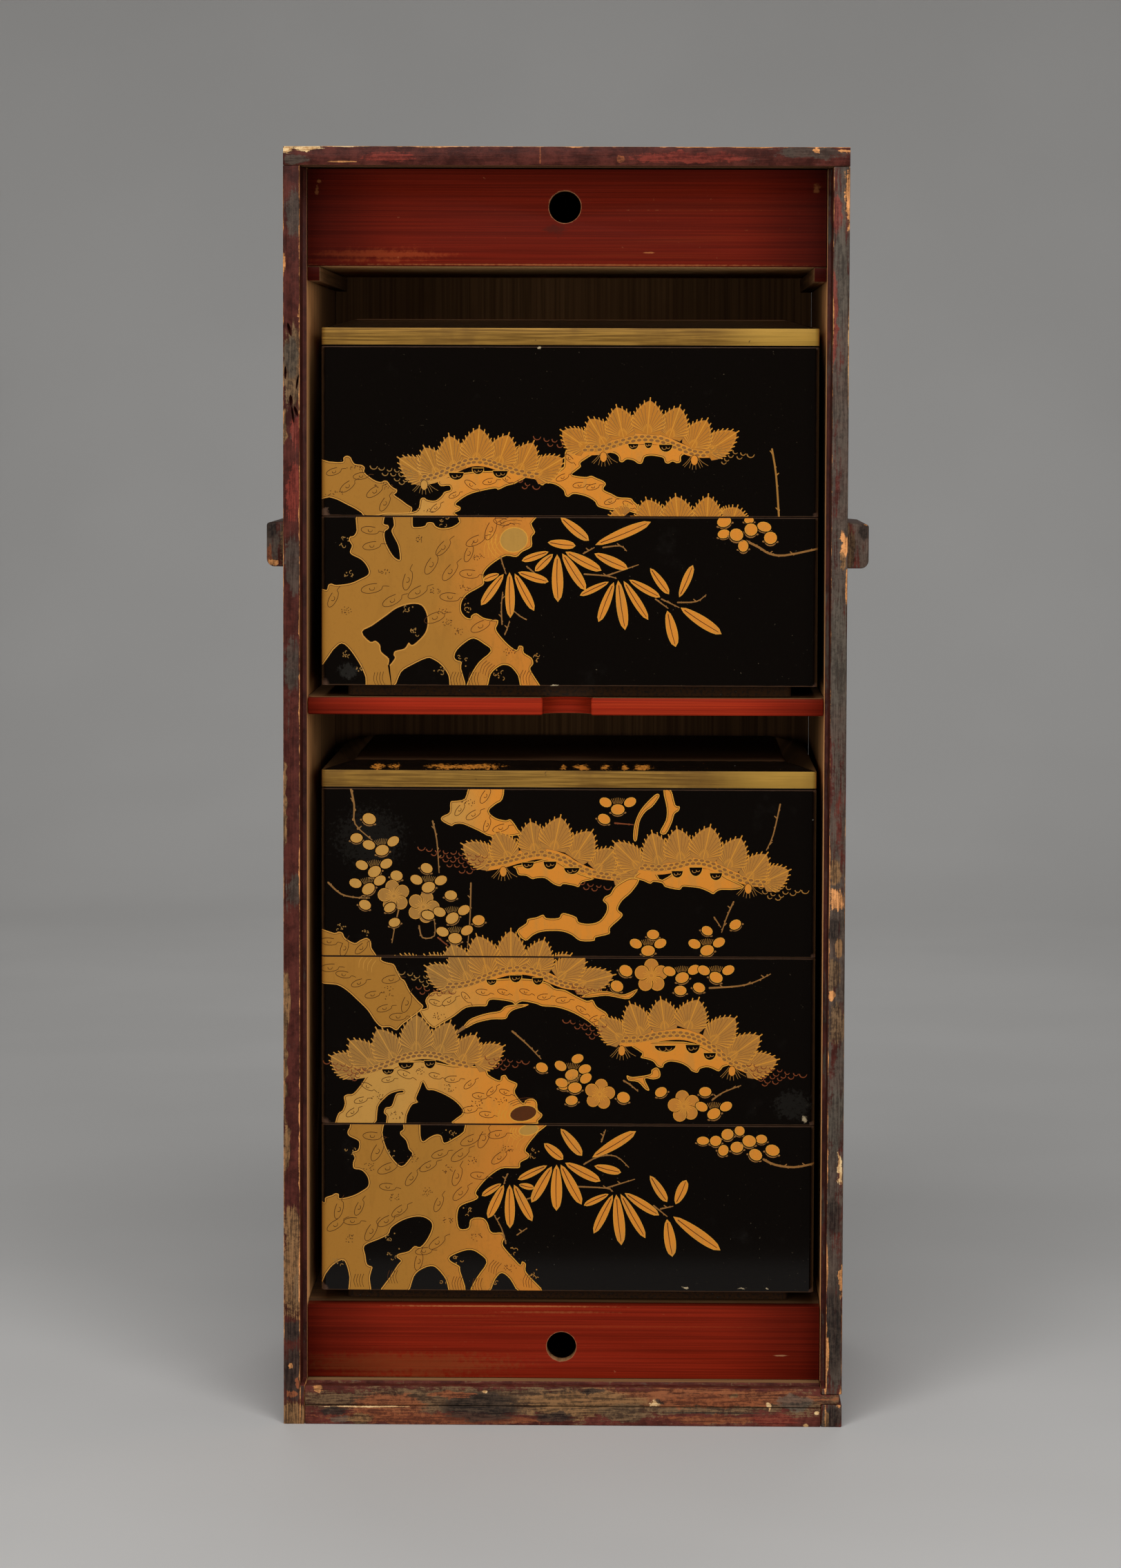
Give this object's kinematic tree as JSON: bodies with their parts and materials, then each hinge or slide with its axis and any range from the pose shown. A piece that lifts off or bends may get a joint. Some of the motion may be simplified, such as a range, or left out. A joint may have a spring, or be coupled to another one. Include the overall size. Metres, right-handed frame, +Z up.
{
  "type": "tiered food box in a carrying case",
  "caption": "Stacked lacquered food tiers with lids in a tall open-fronted carrying case with drawers.",
  "frame": {"origin": "on the ground, under the middle of the whole object", "axes": "+Z up, the open front faces -Y, +X to the right seen from the front"},
  "size_m": [0.2996, 0.265, 0.622],
  "materials": {
    "case_lacquer": "thin worn maroon and slate lacquer over wood, rubbed through at the arrises",
    "red_lacquer": "red lacquer, half gloss, with the grain showing through",
    "bare_wood": "bare, matt, straight-grained softwood",
    "grip_wood": "worn dark finish, matt",
    "black_lacquer": "black lacquer, high gloss, with flat gold decoration"
  },
  "bodies": {
    "case": {"top_board": "case_lacquer", "side_board_left": "case_lacquer", "side_board_right": "case_lacquer", "bottom_board": "case_lacquer", "foot_rail_front": "case_lacquer", "foot_rail_back": "case_lacquer", "shelf": "red_lacquer", "back_board": "bare_wood", "dust_board": "bare_wood", "drawer_cleat_left": "bare_wood", "drawer_cleat_right": "bare_wood", "handle_left": "grip_wood", "handle_right": "grip_wood", "lower_tier_1": "black_lacquer", "lower_tier_2": "black_lacquer", "lower_tier_3": "black_lacquer", "upper_tier_1": "black_lacquer", "upper_tier_2": "black_lacquer", "lower_lid": "black_lacquer", "upper_lid": "black_lacquer"},
    "top_drawer": {"top_drawer_front": "red_lacquer", "top_drawer_side_left": "bare_wood", "top_drawer_side_right": "bare_wood", "top_drawer_back": "bare_wood", "top_drawer_bottom": "bare_wood"},
    "bottom_drawer": {"bottom_drawer_front": "red_lacquer", "bottom_drawer_side_left": "bare_wood", "bottom_drawer_side_right": "bare_wood", "bottom_drawer_back": "bare_wood", "bottom_drawer_bottom": "bare_wood"}
  },
  "joints": [
    {"name": "top_drawer_slide", "type": "slide", "parent": "case", "child": "top_drawer", "axis": [0, -1, 0], "range_m": [0, 0.17]},
    {"name": "bottom_drawer_slide", "type": "slide", "parent": "case", "child": "bottom_drawer", "axis": [0, -1, 0], "range_m": [0, 0.17]}
  ]
}
